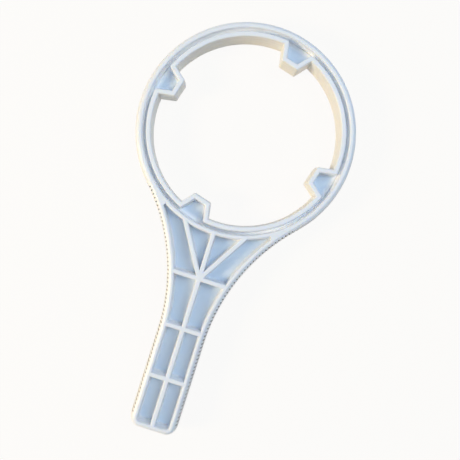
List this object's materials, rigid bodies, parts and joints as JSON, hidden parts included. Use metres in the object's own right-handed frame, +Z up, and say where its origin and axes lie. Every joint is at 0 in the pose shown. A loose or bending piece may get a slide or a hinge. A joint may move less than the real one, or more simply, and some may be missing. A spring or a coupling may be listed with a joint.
{
  "type": "filter housing wrench",
  "caption": "Flat moulded ring wrench: a double-walled ring with hollow inward lugs, on a ribbed handle with serrated edges, for turning the sump of a water filter housing.",
  "frame": {"origin": "on the ring's axis, in the plane of the underside that the wrench rests on", "axes": "+Z up along the ring's axis; the handle runs along -Y; +X to the right when looking from the handle's end towards the ring"},
  "size_m": [0.1244, 0.2373, 0.015],
  "materials": {
    "body": "satin, natural white polypropylene"
  },
  "bodies": {
    "root": {"wrench_body": "body"}
  },
  "joints": []
}
